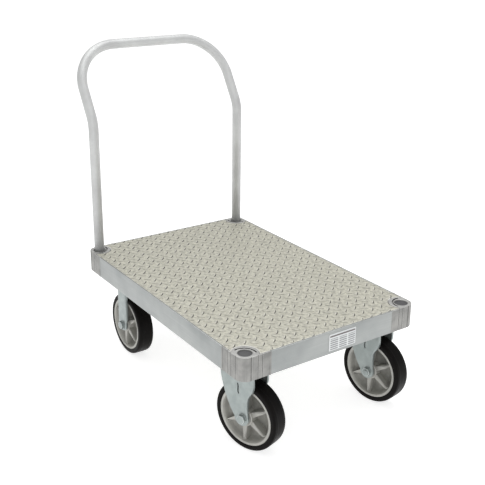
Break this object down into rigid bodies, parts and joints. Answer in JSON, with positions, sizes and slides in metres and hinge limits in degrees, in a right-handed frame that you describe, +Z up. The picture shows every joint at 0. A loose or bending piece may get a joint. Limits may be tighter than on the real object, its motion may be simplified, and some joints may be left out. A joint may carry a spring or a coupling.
{
  "type": "platform cart",
  "caption": "Low push cart with a treadplate deck in a channel frame, a lift-out U handle and casters that swivel at the open end and are rigid under the handle.",
  "frame": {"origin": "on the floor, under the middle of the cart's overall box", "axes": "+X across the deck, +Y from the open end towards the handle, +Z up"},
  "size_m": [0.6096, 1.0582, 0.9931],
  "materials": {
    "treadplate": "dull warm grey aluminium diamond plate",
    "frame_aluminium": "satin mill-finish extrusion",
    "tube_aluminium": "satin drawn tube",
    "cast_core": "as-cast, slightly rough",
    "zinc": "dull bright-zinc plated steel",
    "tyre": "moulded black rubber",
    "dark_plastic": "matte moulded",
    "label": "white printed label with plain grey bars"
  },
  "bodies": {
    "platform": {"deck_plate": "treadplate", "side_channel_left": "frame_aluminium", "side_channel_right": "frame_aluminium", "front_channel": "frame_aluminium", "rear_channel": "frame_aluminium", "corner_post_front_left": "frame_aluminium", "corner_post_front_right": "frame_aluminium", "corner_post_rear_left": "frame_aluminium", "corner_post_rear_right": "frame_aluminium", "front_bolster": "frame_aluminium", "rear_bolster": "frame_aluminium", "deck_stiffener_1": "frame_aluminium", "deck_stiffener_2": "frame_aluminium", "deck_stiffener_3": "frame_aluminium", "socket_plug_left": "dark_plastic", "socket_plug_right": "dark_plastic", "socket_floor_left": "frame_aluminium", "socket_floor_right": "frame_aluminium", "socket_sleeve_left": "dark_plastic", "socket_sleeve_right": "dark_plastic", "label_plate": "label", "caster_plate_front_left": "zinc", "caster_plate_front_right": "zinc", "kingpin_front_left": "zinc", "kingpin_front_right": "zinc", "fork_rear_left": "zinc", "axle_bolt_rear_left": "zinc", "axle_nut_rear_left": "zinc", "fork_rear_right": "zinc", "axle_bolt_rear_right": "zinc", "axle_nut_rear_right": "zinc"},
    "handle": {"handle_tube": "tube_aluminium"},
    "swivel_front_left": {"fork_front_left": "zinc", "swivel_race_front_left": "zinc", "axle_bolt_front_left": "zinc", "axle_nut_front_left": "zinc"},
    "swivel_front_right": {"fork_front_right": "zinc", "swivel_race_front_right": "zinc", "axle_bolt_front_right": "zinc", "axle_nut_front_right": "zinc"},
    "wheel_front_left": {"tyre_front_left": "tyre", "wheel_core_front_left": "cast_core", "wheel_bearing_front_left": "zinc"},
    "wheel_front_right": {"tyre_front_right": "tyre", "wheel_core_front_right": "cast_core", "wheel_bearing_front_right": "zinc"},
    "wheel_rear_left": {"tyre_rear_left": "tyre", "wheel_core_rear_left": "cast_core", "wheel_bearing_rear_left": "zinc"},
    "wheel_rear_right": {"tyre_rear_right": "tyre", "wheel_core_rear_right": "cast_core", "wheel_bearing_rear_right": "zinc"}
  },
  "joints": [
    {"name": "handle_lift", "type": "slide", "parent": "platform", "child": "handle", "axis": [0, 0, 1], "range_m": [0, 0.08]},
    {"name": "front_left_swivel", "type": "hinge", "parent": "platform", "child": "swivel_front_left", "pos_m": [-0.23, -0.38475, 0.2], "axis": [0, 0, 1], "continuous": true},
    {"name": "front_left_roll", "type": "hinge", "parent": "swivel_front_left", "child": "wheel_front_left", "pos_m": [-0.21729, -0.42531, 0.1016], "axis": [0.9542, 0.299, 0], "continuous": true},
    {"name": "front_right_swivel", "type": "hinge", "parent": "platform", "child": "swivel_front_right", "pos_m": [0.23, -0.38475, 0.2], "axis": [0, 0, 1], "continuous": true},
    {"name": "front_right_roll", "type": "hinge", "parent": "swivel_front_right", "child": "wheel_front_right", "pos_m": [0.2376, -0.42657, 0.1016], "axis": [0.9839, 0.1788, 0], "continuous": true},
    {"name": "rear_left_roll", "type": "hinge", "parent": "platform", "child": "wheel_rear_left", "pos_m": [-0.23, 0.24275, 0.1016], "axis": [1, 0, 0], "continuous": true},
    {"name": "rear_right_roll", "type": "hinge", "parent": "platform", "child": "wheel_rear_right", "pos_m": [0.23, 0.24275, 0.1016], "axis": [1, 0, 0], "continuous": true}
  ]
}
